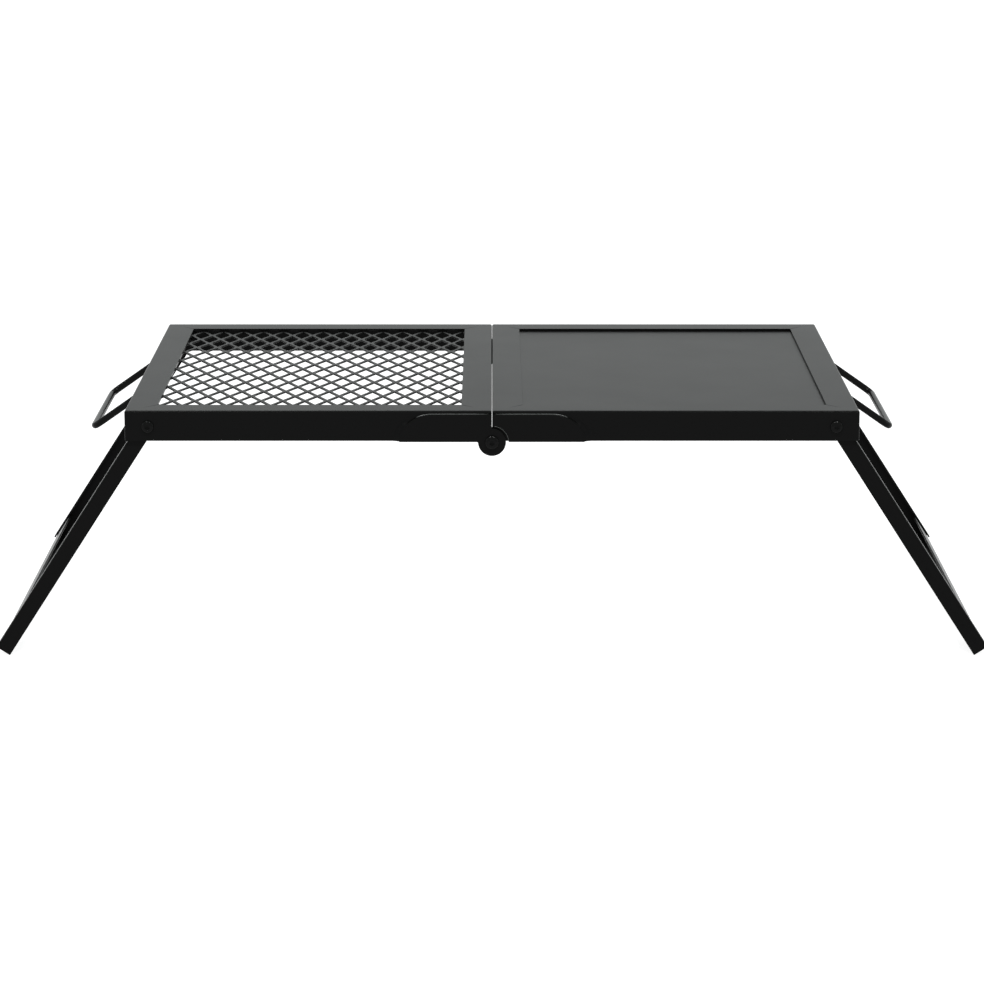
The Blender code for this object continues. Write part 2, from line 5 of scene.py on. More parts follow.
import bmesh
import bpy
import numpy as np
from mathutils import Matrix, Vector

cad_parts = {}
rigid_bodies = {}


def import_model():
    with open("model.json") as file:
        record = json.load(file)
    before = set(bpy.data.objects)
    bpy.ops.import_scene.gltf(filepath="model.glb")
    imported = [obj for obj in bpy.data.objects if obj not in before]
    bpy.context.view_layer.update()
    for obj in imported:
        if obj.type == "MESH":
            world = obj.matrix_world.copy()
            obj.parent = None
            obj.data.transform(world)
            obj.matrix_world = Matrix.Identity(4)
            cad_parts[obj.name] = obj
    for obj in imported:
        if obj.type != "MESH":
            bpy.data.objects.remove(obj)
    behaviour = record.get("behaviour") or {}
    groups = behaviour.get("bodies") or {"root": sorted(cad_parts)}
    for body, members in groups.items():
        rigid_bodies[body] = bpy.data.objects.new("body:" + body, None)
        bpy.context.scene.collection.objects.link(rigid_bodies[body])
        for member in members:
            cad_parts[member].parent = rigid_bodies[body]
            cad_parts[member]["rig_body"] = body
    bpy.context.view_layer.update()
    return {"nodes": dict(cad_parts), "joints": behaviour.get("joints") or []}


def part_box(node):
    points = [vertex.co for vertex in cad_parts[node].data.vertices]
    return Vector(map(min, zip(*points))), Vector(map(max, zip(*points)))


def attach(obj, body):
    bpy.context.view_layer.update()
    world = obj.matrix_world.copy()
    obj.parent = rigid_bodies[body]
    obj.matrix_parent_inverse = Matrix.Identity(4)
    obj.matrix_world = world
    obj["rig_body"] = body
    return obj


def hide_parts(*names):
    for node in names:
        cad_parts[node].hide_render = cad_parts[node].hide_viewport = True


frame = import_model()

bl_info = {
    "name": "Folding Camp Grill",
    "version": (1, 0, 0),
    "blender": (4, 5, 0),
    "location": "3D View > Sidebar > Camp Grill",
    "description": "Finishes the sheet steel, grate, handles, screws and welds of a folding camp grill",
    "category": "Object",
}

PICTURE_SIDE = 984
SENSOR_SIDE = 36.0
ALONG_Y = np.array([0.0, 1.0, 0.0])

# Around the fold axis, a hinge plate's ear turns in front of the other half
EAR_REACH = 0.014

# Corners closer than this are one, faces within this angle of each other are one flat face, and edges that
# turn by more than this many degrees are sheared ones
SAME_CORNER = 2e-6
SAME_FLAT = math.radians(0.5)
SHEARED = 35

# Most values of a noise texture lie in this range
NOISE_RANGE = {"From Min": 0.3, "From Max": 0.7}

# The coating: its orange peel's grain, height, strength and shades, and its clouds' size and roughness
PEEL_GRAIN = 0.0011
PEEL_HEIGHT = 0.00004
PEEL_STRENGTH = 0.15
PEEL_SHADES = (0.8, 1.2)
CLOUD_SIZE = 0.05
CLOUD_SHEEN = 0.006

# The marks of the ground-off corner welds
MITRE_ROUGHNESS = 0.85
MITRE_CORE = 0.0003
MITRE_RIM = 0.0007
MITRE_BARE_SHARE = 0.55

# The black oxide: the grain and shades of its wear, what that changes of its roughness, and its gloss
WEAR_GRAIN = 0.0012
WEAR_SHADES = (0.7, 1.5)
WEAR_SHEEN = (-0.06, 0.08)
OXIDE_GLOSS = 0.06

# Points round a rod, a stitch and a bead
ROD_POINTS = 24
STITCH_POINTS = 10
BEAD_POINTS = 8

# Screws and nuts: rings of the thread, points round a ring, the thread's share of the radius, turned edges
THREAD_RINGS = 40
RINGS_PER_PITCH = 8
TURNED_POINTS = 48
THREAD_SHARE = 0.05
TURNED_EDGE = 0.0002

# A stitch's ripples, and the least share of its radius at its ends
RIPPLE_SHARE = 0.10
RINGS_PER_RIPPLE = 4
BLUNT_END = 0.15

# The crossbar's stitches: how deep they lie in the inner face, and how far they stop from its edges
CROSSBAR_SINK = 0.0015
CROSSBAR_LOWER_GAP = 0.004
CROSSBAR_UPPER_GAP = 0.003

# Seams on the hinge plates: from the last level ring to the swept end, and the bite's arc in degrees
SEAM_STEP = 0.004
BITE_ARC = (6, 84)

# The ground weld round a swept end: rings, points across, rings in which it rises, and what lies in the skirt
BLEND_RINGS = 25
BLEND_POINTS = 11
BLEND_RISE_RINGS = 8
BLEND_SINK = 0.0001
BLEND_COVER = 0.00002
BLEND_ROOT = 0.0004

# The studio, in metres. The dome's light changes between these two heights of the view.
FLOOR_REACH = 40.0
FLOOR_DROP = 0.0002
DOME_LOW = 0.25
DOME_HIGH = 0.95
LAMP_SIZE = 0.35
LAMP_PLACE = (0.94, -1.84, 3.43)
SOFTBOX_SIZE = (1.6, 0.9)
SOFTBOX_PLACE = (2.2, -0.2, 0.9)
SOFTBOX_TILT = math.radians(72)

# What each group of nodes is made of
SHEET_NODES = [
    name for name in frame["nodes"]
    if name.startswith(("hinge_plate", "hinge_backing", "hinge_lug", "left_leg_", "right_leg_"))
]
FRAME_NODES = ["grill_frame", "griddle_frame"]
RING_NODES = [name for name in frame["nodes"] if "_washer_" in name or "_spacer_" in name]
SCREW_NODES = [name for name in frame["nodes"] if "_screw_" in name]
NUT_NODES = [name for name in frame["nodes"] if "_nut_" in name]
HANDLES = {"left_handle": "left_handle_lift", "right_handle": "right_handle_lift"}


def linear(code):
    """sRGB hex to linear red, green and blue: the low end divided by 12.92, the rest by the 2.4 power."""
    values = [int(code[i:i + 2], 16) / 255 for i in (1, 3, 5)]
    return tuple(v / 12.92 if v <= 0.04045 else ((v + 0.055) / 1.055) ** 2.4 for v in values)


def length(name, default, description):
    """A property in metres."""
    return bpy.props.FloatProperty(
        name=name, default=default, description=description, unit="LENGTH", subtype="DISTANCE", precision=5
    )


def colour(name, default, description):
    """A colour property, from sRGB hex."""
    return bpy.props.FloatVectorProperty(
        name=name, default=linear(default), description=description, subtype="COLOR", min=0.0, max=1.0
    )


def share(name, default, description):
    """A property from nought to one."""
    return bpy.props.FloatProperty(
        name=name, default=default, description=description, subtype="FACTOR", min=0.0, max=1.0
    )


def strength(name, default, description):
    """A property for how brightly a surface or the dome shines."""
    return bpy.props.FloatProperty(name=name, default=default, description=description, min=0.0)


class CAMP_GRILL_PG_finishes(bpy.types.PropertyGroup):
    """Colours and gloss of the steel."""

    coating: colour("Coating", "#070707", "Heat-proof black coating on the sheet steel")
    coating_roughness: share("Coating roughness", 0.30, "How far the coating scatters what it mirrors")
    coating_gloss: share("Coating gloss", 0.0447, "How strongly the coating mirrors what it faces")
    griddle: colour("Griddle", "#080808", "Coating on the cooking plate")
    rod: colour("Rod", "#080808", "Coating on the bent handle rods")
    rod_roughness: share("Rod roughness", 0.22, "How far the rods' coating scatters what it mirrors")
    rod_gloss: share("Rod gloss", 0.06, "How strongly the rods' coating mirrors what it faces")
    fastener: colour("Fastener", "#070707", "Black oxide on the screws, nuts and washers")
    fastener_roughness: share("Fastener roughness", 0.14, "How far the black oxide scatters what it mirrors")
    # Painted highlight: the seams' colour is a mid grey far lighter than the coating's black, standing in for
    # the light lines that their edges catch
    bead: colour("Weld bead", "#464847", "Thin coating on the seams along the hinge plates")
    bead_gloss: share("Weld bead gloss", 0.3, "How strongly the thin coating mirrors what it faces")
    edge: length("Edge rounding", 0.00035, "Radius that the coating leaves on a sheared edge")


class CAMP_GRILL_PG_grate(bpy.types.PropertyGroup):
    """Sizes of the flattened expanded metal."""

    short_way: length("Short way", 0.01861, "Diamond pitch along X, from bond to bond")
    long_way: length("Long way", 0.04054, "Diamond pitch along Y, from bond to bond")
    strand: length("Strand width", 0.0030, "Strand width along X")
    sheet: length("Sheet", 0.0012, "Thickness of the flattened sheet")
    bond: length("Bond", 0.0066, "Length of the stretch where two strands stay joined")
    first_bond: length("First bond", 0.0021, "From the opening's inner edge to the first bond")
    row: length("Row", 0.1762, "Y place of a row of bonds")
    turn: length("Turn", 0.0012, "Half the length over which a strand turns at the end of a bond")
    corner: length("Corner", 0.0002, "Radius of the strands' edges")
    flange: length("Flange", 0.0254, "Width of the flange round the opening")


class CAMP_GRILL_PG_handles(bpy.types.PropertyGroup):
    """Sizes of the bent handle rods."""

    rod: length("Rod", 0.006, "Diameter of the rod")
    hook: length("Hook", 0.012, "How far the hook reaches inside the end wall")
    bend: length("Bend", 0.008, "Centre radius of the bends at the grip")
    hook_bend: length("Hook bend", 0.004, "Centre radius of the bends at the hooks")


class CAMP_GRILL_PG_fasteners(bpy.types.PropertyGroup):
    """Sizes of the screws and nuts."""

    shank: length("Shank", 0.006, "Diameter of the screws")
    pitch: length("Pitch", 0.001, "Thread pitch of the screws")
    socket: length("Socket", 0.004, "Width across the flats of the hexagon socket")
    socket_depth: length("Socket depth", 0.0018, "Depth of the hexagon socket")
    rim: length("Rim", 0.0006, "Height of the head's straight rim")
    collar: length("Collar", 0.0014, "Height of the lock nut's round collar")
    hinge_head: length("Hinge screw head", 0.0032, "Height of a hinge screw's head")
    leg_head: length("Leg screw head", 0.0029, "Height of a leg screw's head")


class CAMP_GRILL_PG_welds(bpy.types.PropertyGroup):
    """Sizes of the weld seams."""

    seam: length("Plate seam", 0.00036, "Radius of the seam along a hinge plate's top edge")
    seam_start: length("Seam start", 0.003, "From the slit between the halves to the plate seam")
    seam_end: bpy.props.FloatProperty(
        name="Seam end", default=math.radians(62), description="Where on the swept end the plate seam stops",
        subtype="ANGLE", unit="ROTATION",
    )
    bite: length("Bite", 0.0138, "Radius of the round bite in a hinge backing plate")
    bite_seam: length("Bite seam", 0.00015, "Radius of the seam round the bite")
    blend_start: bpy.props.FloatProperty(
        name="Blend start", default=math.radians(45), description="Where on the swept end grinding starts",
        subtype="ANGLE", unit="ROTATION",
    )
    blend: length("Blend", 0.0055, "How far the ground weld round a swept end runs out on the skirt")
    blend_overlap: length("Blend overlap", 0.0006, "How far the ground weld reaches over the hinge plate")
    fillet: length("Fillet", 0.0013, "Radius of the stitches that hold the panels, lugs and crossbars")
    stitch: length("Stitch", 0.018, "Length of one stitch")
    spacing: length("Spacing", 0.075, "Distance between stitches, about")
    ripple: length("Ripple", 0.0014, "Distance between the ripples of a stitch")
    sweep: length("Plate sweep", 0.027, "Length of the swept end of a hinge plate")
    lift: length("Plate lift", 0.0002, "Height of a hinge plate's lower edge over the fold axis")
    splay: bpy.props.FloatProperty(
        name="Splay", default=math.radians(32.9), description="How far the legs stand out from upright",
        subtype="ANGLE", unit="ROTATION",
    )


class CAMP_GRILL_PG_stage(bpy.types.PropertyGroup):
    """The studio: floor, light and camera."""

    floor: colour("Floor", "#8E8E8E", "Colour of the plain pale floor under the studio light")
    floor_glow: strength("Floor glow", 0.88, "Light that the floor gives")
    sky: colour("Sky", "#FBFFFE", "Colour of the studio's dome")
    low_light: strength("Low light", 1.0, "Light from near the horizon")
    high_light: strength("High light", 0.95, "Light from overhead")
    side_light: bpy.props.FloatProperty(
        name="Side light", default=7.0, description="Power of the softboxes at both ends", unit="POWER"
    )
    lamp_light: bpy.props.FloatProperty(
        name="Lamp light", default=75.0, description="Power of the two lamps overhead", unit="POWER"
    )
    camera_distance: length("Camera distance", 2.9659, "From the object's middle to the camera, along Y")
    camera_height: length("Camera height", 0.7812, "Height of the camera over the floor")
    camera_tilt: bpy.props.FloatProperty(
        name="Camera tilt", default=math.radians(13.03), description="How far the camera looks down",
        subtype="ANGLE", unit="ROTATION",
    )
    focal_length: bpy.props.FloatProperty(
        name="Focal length", default=3403.6, description="Focal length in pixels of the square picture"
    )


def add_node(tree, kind, values=None, links=None, **settings):
    """Adds a shader node, with its settings, the values of its inputs, and what its other inputs read."""
    made = tree.nodes.new(kind)
    for name, value in settings.items():
        setattr(made, name, value)
    for name, value in (values or {}).items():
        made.inputs[name].default_value = value
    for name, source in (links or {}).items():
        tree.links.new(source, made.inputs[name])
    return made


def new_material(name):
    """An empty material and its Principled shader, joined to the output."""
    material = bpy.data.materials.new(name)
    material.use_nodes = True
    tree = material.node_tree
    tree.nodes.clear()
    shader = add_node(tree, "ShaderNodeBsdfPrincipled")
    add_node(tree, "ShaderNodeOutputMaterial", links={"Surface": shader.outputs["BSDF"]})
    return material, tree, shader


def shades(base, darker, lighter):
    """The two ends of a colour mix: a share less and a share more of the base colour."""
    return {6: (*[darker * v for v in base], 1.0), 7: (*[lighter * v for v in base], 1.0)}


def satin_stove_coating(name, base, roughness, gloss, mitres=None):
    """Heat-proof silicone paint, sprayed and baked on sheet steel.

    It gives the eye a black that mirrors little face on and a good deal at a low angle, over a fine orange
    peel with grains of about a millimetre and faint changes in its sheen, a few centimetres across.
    """
    material, tree, shader = new_material(name)
    place = add_node(tree, "ShaderNodeTexCoord").outputs["Object"]
    peel, cloud = (
        add_node(
            tree, "ShaderNodeTexNoise", {"Scale": 1 / size, "Detail": detail}, {"Vector": place}
        ).outputs["Fac"]
        for size, detail in ((PEEL_GRAIN, 2.0), (CLOUD_SIZE, 3.0))
    )
    sheen = add_node(
        tree, "ShaderNodeMapRange",
        {**NOISE_RANGE, "To Min": roughness - CLOUD_SHEEN, "To Max": roughness + CLOUD_SHEEN},
        {"Value": cloud},
    ).outputs["Result"]
    shade = add_node(
        tree, "ShaderNodeMix", shades(base, *PEEL_SHADES), {0: peel}, data_type="RGBA"
    ).outputs[2]
    height = peel
    if mitres:
        seam = mitre_seams(tree, place, mitres)
        sheen = add_node(tree, "ShaderNodeMix", {3: MITRE_ROUGHNESS}, {0: seam, 2: sheen}).outputs[0]
        height = add_node(tree, "ShaderNodeMath", {}, {0: peel, 1: seam}, operation="SUBTRACT").outputs[0]
    bump = add_node(
        tree, "ShaderNodeBump", {"Strength": PEEL_STRENGTH, "Distance": PEEL_HEIGHT}, {"Height": height}
    )
    for socket, source in (("Roughness", sheen), ("Base Color", shade), ("Normal", bump.outputs["Normal"])):
        tree.links.new(source, shader.inputs[socket])
    shader.inputs["Specular IOR Level"].default_value = gloss
    return material


def mitre_seams(tree, place, mitres):
    """The ground-off welds across the flange's corners, as a mask.

    With the distances in from the two nearest outer edges, the mask is one where they are equal and falls to
    nothing half a millimetre to each side. It fades from the opening's corner to the middle of the flange.
    """
    middle, half_length, half_depth, flange = mitres
    parts = add_node(tree, "ShaderNodeSeparateXYZ", links={"Vector": place})
    steps = (("ABSOLUTE", None), ("SUBTRACT", middle), ("ABSOLUTE", None), ("SUBTRACT", half_length))
    across = parts.outputs["X"]
    for operation, value in steps:
        across = add_node(
            tree, "ShaderNodeMath", {1: value} if value else {}, {0: across}, operation=operation
        ).outputs[0]
    along = add_node(tree, "ShaderNodeMath", {}, {0: parts.outputs["Y"]}, operation="ABSOLUTE").outputs[0]
    along = add_node(tree, "ShaderNodeMath", {1: half_depth}, {0: along}, operation="SUBTRACT").outputs[0]
    apart = add_node(tree, "ShaderNodeMath", {}, {0: across, 1: along}, operation="SUBTRACT").outputs[0]
    apart = add_node(tree, "ShaderNodeMath", {}, {0: apart}, operation="ABSOLUTE").outputs[0]
    line = add_node(
        tree, "ShaderNodeMapRange",
        {"From Min": MITRE_CORE, "From Max": MITRE_RIM, "To Min": 1.0, "To Max": 0.0},
        {"Value": apart}, interpolation_type="SMOOTHSTEP",
    ).outputs["Result"]
    fade = add_node(
        tree, "ShaderNodeMapRange",
        {"From Min": -MITRE_BARE_SHARE * flange, "From Max": -flange, "To Min": 0.0, "To Max": 1.0},
        {"Value": along},
    ).outputs["Result"]
    return add_node(tree, "ShaderNodeMath", {}, {0: line, 1: fade}, operation="MULTIPLY").outputs[0]


def black_oxide_steel(name, base, roughness):
    """Steel blackened in a hot salt bath and oiled.

    The oxide hides the metal under it, so the eye sees a black with a soft, slightly uneven gloss.
    """
    material, tree, shader = new_material(name)
    place = add_node(tree, "ShaderNodeTexCoord").outputs["Object"]
    worn = add_node(
        tree, "ShaderNodeTexNoise", {"Scale": 1 / WEAR_GRAIN, "Detail": 4.0}, {"Vector": place}
    ).outputs["Fac"]
    shade = add_node(
        tree, "ShaderNodeMix", shades(base, *WEAR_SHADES), {0: worn}, data_type="RGBA"
    ).outputs[2]
    sheen = add_node(
        tree, "ShaderNodeMapRange",
        {**NOISE_RANGE, "To Min": roughness + WEAR_SHEEN[0], "To Max": roughness + WEAR_SHEEN[1]},
        {"Value": worn},
    ).outputs["Result"]
    tree.links.new(shade, shader.inputs["Base Color"])
    tree.links.new(sheen, shader.inputs["Roughness"])
    shader.inputs["Specular IOR Level"].default_value = OXIDE_GLOSS
    return material


def fill_mesh(mesh, points, quads, triangles):
    """Puts whole arrays of points, four-sided and three-sided faces into a mesh, turned to face outward."""
    fans = [(quads[:, 0], quads[:, 1], quads[:, 2]), (quads[:, 0], quads[:, 2], quads[:, 3])]
    fans.append((triangles[:, 0], triangles[:, 1], triangles[:, 2]))
    volume = sum(np.einsum("ij,ij->", points[a], np.cross(points[b], points[c])) for a, b, c in fans)
    if volume < 0:
        quads, triangles = quads[:, ::-1], triangles[:, ::-1]
    corners = np.concatenate([quads.ravel(), triangles.ravel()]).astype(np.int32)
    sizes = np.concatenate([np.full(len(quads), 4), np.full(len(triangles), 3)])
    starts = np.concatenate([[0], np.cumsum(sizes)[:-1]]).astype(np.int32)
    mesh.vertices.add(len(points))
    mesh.vertices.foreach_set("co", points.astype(np.float32).ravel())
    mesh.loops.add(len(corners))
    mesh.loops.foreach_set("vertex_index", corners)
    mesh.polygons.add(len(sizes))
    mesh.polygons.foreach_set("loop_start", starts)
    mesh.update(calc_edges=True)


def skin(rings, closed=False):
    """Faces over rings of points, joined in order. The last joins the first, or both ends get a fan."""
    count, around = rings.shape[:2]
    steps = count if closed else count - 1
    i = np.arange(steps)[:, None] * around
    j = np.arange(around)[None]
    k = (j + 1) % around
    after = ((np.arange(steps)[:, None] + 1) % count) * around
    quads = np.stack([i + j, i + k, after + k, after + j], -1).reshape(-1, 4)
    points = rings.reshape(-1, 3)
    if closed:
        return points, quads, np.empty((0, 3), int)
    first, last = len(points), len(points) + 1
    points = np.concatenate([points, rings[:1].mean(1), rings[-1:].mean(1)])
    ends = (count - 1) * around
    caps = [np.stack([k[0], j[0], np.full(around, first)], -1)]
    caps.append(np.stack([ends + j[0], ends + k[0], np.full(around, last)], -1))
    return points, quads, np.concatenate(caps)


def joined(surfaces):
    """Several surfaces as one set of points and faces."""
    offset = 0
    points, quads, triangles = [], [], []
    for some_points, some_quads, some_triangles in surfaces:
        points.append(some_points)
        quads.append(some_quads + offset)
        triangles.append(some_triangles + offset)
        offset += len(some_points)
    return np.concatenate(points), np.concatenate(quads), np.concatenate(triangles)


def put_piece(name, mesh, material, node):
    """Stands a mesh in for a CAD node: it rides on the same body and takes the given material in its one
    slot.
    """
    mesh.materials.clear()
    mesh.materials.append(material)
    piece = bpy.data.objects.new(name, mesh)
    bpy.context.scene.collection.objects.link(piece)
    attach(piece, frame["nodes"][node]["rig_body"])
    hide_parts(node)
    return piece


def smooth_by_angle(mesh, degrees):
    """Shades a mesh smooth, apart from edges that turn by more than this."""
    mesh.shade_smooth()
    mesh.set_sharp_from_angle(angle=math.radians(degrees))


def points_of(mesh):
    """A mesh's points as one array of rows."""
    points = np.empty(len(mesh.vertices) * 3, np.float32)
    mesh.vertices.foreach_get("co", points)
    return points.reshape(-1, 3)


def close_joint(mesh):
    """Brings a hinge plate's back face, apart from what turns in front of the other half, onto the skirt."""
    points = points_of(mesh)
    depth = np.abs(points[:, 1])
    back = (depth < depth.min() + 5 * SAME_CORNER) & (np.abs(points[:, 0]) > EAR_REACH)
    points[back, 1] = np.sign(points[back, 1]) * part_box("grill_frame")[1].y
    mesh.vertices.foreach_set("co", points.ravel())


def edged_copy(node, material, radius):
    """A copy of a CAD node with its corners merged, its flat faces whole and its sheared edges rounded."""
    mesh = frame["nodes"][node].data.copy()
    mesh.name = node + "_coated"
    if node.startswith(("hinge_plate", "hinge_backing")):
        close_joint(mesh)
    shape = bmesh.new()
    shape.from_mesh(mesh)
    bmesh.ops.remove_doubles(shape, verts=shape.verts, dist=SAME_CORNER)
    bmesh.ops.dissolve_limit(shape, angle_limit=SAME_FLAT, verts=shape.verts, edges=shape.edges)
    shape.to_mesh(mesh)
    shape.free()
    smooth_by_angle(mesh, degrees=SHEARED)
    piece = put_piece(node + "_coated", mesh, material, node)
    bevel = piece.modifiers.new("rounded edge", "BEVEL")
    bevel.width = radius
    bevel.segments = 2
    bevel.limit_method = "ANGLE"
    bevel.angle_limit = math.radians(SHEARED)
    flats = piece.modifiers.new("flat faces stay flat", "WEIGHTED_NORMAL")
    flats.keep_sharp = True
    return piece


def swing(y, row, half_way, bond):
    """Swing of a strand from -1 to 1 along Y: level for a bond's length, then straight to the other side."""
    phase = np.mod((y - row) / half_way, 2.0)
    away = np.minimum(phase, 2.0 - phase)
    flat = bond / half_way / 2
    return 1.0 - 2.0 * np.clip((away - flat) / (1.0 - 2 * flat), 0.0, 1.0)


def soft_swing(y, grate):
    """The swing averaged over the length of a turn, which rounds its corners."""
    spread = np.linspace(-grate.turn, grate.turn, 9)
    return swing(y[:, None] + spread, grate.row, grate.long_way / 2, grate.bond).mean(1)


def strand_stations(low, high, grate):
    """Y places of a strand's rings: four round each end of each bond, and the strand's two ends."""
    half_way = grate.long_way / 2
    rows = grate.row + half_way * np.arange(math.floor((low - grate.row) / half_way) - 1, 2)
    ends = np.array([-grate.bond / 2, grate.bond / 2])
    turns = grate.turn * np.array([-1.0, -0.35, 0.35, 1.0])
    y = np.sort((rows[:, None, None] + ends[:, None] + turns).ravel())
    return np.concatenate([[low], y[(y > low) & (y < high)], [high]])


def rounded_bar(width, thickness, corner):
    """Points round a bar's section: its four corners, each an arc of a quarter turn."""
    angle = np.radians([0.0, 45.0, 90.0])[None] + np.radians([0.0, 90.0, 180.0, 270.0])[:, None]
    centre = np.array([[1, 1], [-1, 1], [-1, -1], [1, -1]])[:, None]
    centre = centre * (np.array([width, thickness]) / 2 - corner)
    points = centre + corner * np.stack([np.cos(angle), np.sin(angle)], -1)
    return points.reshape(-1, 2)


def grate_surface(grate):
    """All the strands of the flattened expanded metal.

    Each strand is a bar carried along Y. Its middle swings to both sides like a trapezoid wave, so that it
    meets its neighbour edge to edge in a bond, where the two overlap by the radius of their edges.
    """
    low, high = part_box("expanded_grate")
    y = strand_stations(low.y, high.y, grate)
    side = soft_swing(y, grate)
    section = rounded_bar(grate.strand + grate.corner, grate.sheet, grate.corner)
    pitch = grate.short_way / 2
    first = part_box("grill_frame")[1].x - grate.flange - grate.first_bond + pitch / 2
    count = int((first - low.x) / pitch) + 1
    reach = (pitch - grate.strand) / 2
    surfaces = []
    for strand in range(count):
        flip = -1.0 if strand % 2 == 0 else 1.0
        rings = np.empty((len(y), len(section), 3))
        rings[:, :, 0] = first - strand * pitch + reach * flip * side[:, None] + section[:, 0]
        rings[:, :, 1] = y[:, None]
        rings[:, :, 2] = high.z - grate.sheet / 2 + section[:, 1]
        surfaces.append(skin(rings))
    return joined(surfaces)


def filleted_path(corners, radii, steps):
    """A line through the corners, each rounded by an arc of its own radius that meets both straights."""
    path = [corners[0]]
    for before, corner, after, radius in zip(corners, corners[1:], corners[2:], radii):
        arrive = unit(corner - before)
        leave = unit(after - corner)
        centre = corner - radius * arrive + radius * leave
        angle = np.linspace(0.0, math.pi / 2, steps)[:, None]
        path.extend(centre - radius * leave * np.cos(angle) + radius * arrive * np.sin(angle))
    path.append(corners[-1])
    return np.array(path)


def tube(path, normal, radii, around):
    """A round bar along a path that lies in one plane.

    Each ring is a circle across the path: the middle plus the radius there times the cosine of the angle
    along the plane's normal and the sine along the direction square to both.
    """
    tangent = np.gradient(path, axis=0)
    tangent /= np.linalg.norm(tangent, axis=1)[:, None]
    side = np.cross(tangent, normal)
    angle = np.linspace(0.0, math.tau, around, endpoint=False)
    offsets = np.cos(angle)[None, :, None] * normal + np.sin(angle)[None, :, None] * side[:, None]
    return skin(path[:, None] + np.asarray(radii)[:, None, None] * offsets)


def chamfered_rod(path, normal, radius):
    """A rod of even radius whose two ends are turned off at a slant."""
    chamfer = radius / 4
    ends = [path[0], path[0] + chamfer * unit(path[1] - path[0])]
    ends += [path[-1] + chamfer * unit(path[-2] - path[-1]), path[-1]]
    path = np.concatenate([ends[:2], path[1:-1], ends[2:]])
    radii = np.full(len(path), radius)
    radii[[0, -1]] = radius - chamfer
    return tube(path, normal, radii, ROD_POINTS)


def unit(vector):
    """A vector's direction."""
    return vector / np.linalg.norm(vector)


def handle_surface(node, joint, handles):
    """The bent rod: hook, out through the slot, grip and back, drooping about its joint."""
    low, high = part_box(node)
    pivot = np.array(next(j["pos_m"] for j in frame["joints"] if j["name"] == joint))
    side = math.copysign(1.0, pivot[0])
    outer = high.x if side > 0 else low.x
    grip_x = outer - side * handles.rod / 2
    grip_z = low.z + handles.rod / 2
    arm = np.array([grip_x - pivot[0], 0.0, grip_z - pivot[2]])
    hook = np.array([0.0, high.y, 0.0])
    grip = hook - np.array([0.0, handles.hook, 0.0])
    corners = [pivot - hook, pivot - grip, pivot - grip + arm, pivot + grip + arm, pivot + grip, pivot + hook]
    path = filleted_path(corners, (handles.hook_bend, handles.bend, handles.bend, handles.hook_bend), 9)
    return chamfered_rod(path, np.cross(unit(arm), ALONG_Y), handles.rod / 2)


def revolved(rows, around):
    """Rings round the Y axis from rows of radius, place along Y and share of hexagon.

    A ring's radius is r, and for the hexagon share r over the cosine of the angle from the nearest flat's
    middle.
    """
    rows = np.array(rows, float)
    angle = np.linspace(0.0, math.tau, around, endpoint=False)
    flat = 1.0 / np.cos(np.mod(angle + math.pi / 6, math.pi / 3) - math.pi / 6)
    radius = rows[:, :1] * (1.0 + rows[:, 2:3] * (flat[None] - 1.0))
    rings = np.empty((len(rows), around, 3))
    rings[:, :, 0] = radius * np.cos(angle)
    rings[:, :, 1] = rows[:, 1:2]
    rings[:, :, 2] = radius * np.sin(angle)
    return rings


def span_of(node):
    """Which way a fastener points along Y, and the places of its outer and inner end."""
    low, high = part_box(node)
    if low.y + high.y > 0:
        return -1.0, high.y, low.y
    return 1.0, low.y, high.y


def placed(rings, node):
    """Rings turned to point inward from the node's side, with their zero at its outer end."""
    low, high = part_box(node)
    inward, outer, _ = span_of(node)
    rings = rings.copy()
    rings[:, :, 1] = outer + inward * rings[:, :, 1]
    rings[:, :, 0] += (low.x + high.x) / 2
    rings[:, :, 2] += (low.z + high.z) / 2
    return rings


def screw_surface(node, fasteners):
    """A button-head screw: domed head, hexagon socket, and a shank whose far end shows its thread.

    The thread is a radius that falls and rises once in a pitch and once round, so it climbs like a helix.
    """
    low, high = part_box(node)
    _, outer, inner = span_of(node)
    total = abs(outer - inner)
    head = (high.x - low.x) / 2
    height = fasteners.hinge_head if node.startswith("hinge") else fasteners.leg_head
    shank = fasteners.shank / 2
    socket = fasteners.socket / 2
    floor = fasteners.socket_depth
    dome = np.linspace(0.0, math.pi / 2, 10)[1:-1]
    step = fasteners.pitch / RINGS_PER_PITCH
    rows = [(0.0005, total, 0), (shank * 0.80, total, 0)]
    rows += [(shank, total - 0.0006 - ring * step, 0) for ring in range(THREAD_RINGS)]
    rows += [(shank, height + TURNED_EDGE, 0), (shank + 0.0001, height, 0), (head - TURNED_EDGE, height, 0)]
    rows += [(head, height - TURNED_EDGE, 0), (head, height - fasteners.rim, 0)]
    rise = height - fasteners.rim
    arc = [(head * math.cos(angle), rise * (1 - math.sin(angle)), 0) for angle in dome]
    rows += [row for row in arc if row[0] > socket * 1.3]
    lip = rise * (1 - math.sqrt(1 - (socket * 1.15 / head) ** 2))
    rows += [(socket * 1.17, lip, 0.3), (socket * 1.02, lip + 0.0001, 1), (socket, lip + 0.0003, 1)]
    rows += [(socket, floor, 1), (socket * 0.92, floor + 0.0001, 1), (socket * 0.1, floor + 0.0005, 0)]
    rings = revolved(rows, TURNED_POINTS)
    threaded = slice(2, 2 + THREAD_RINGS)
    angle = np.linspace(0.0, math.tau, TURNED_POINTS, endpoint=False)[None]
    turns = np.array(rows)[threaded, 1:2] / fasteners.pitch + angle / math.tau
    depth = 1.0 - THREAD_SHARE * (1.0 - np.abs(2.0 * np.mod(turns, 1.0) - 1.0))
    rings[threaded, :, 0] *= depth
    rings[threaded, :, 2] *= depth
    return skin(placed(rings, node))


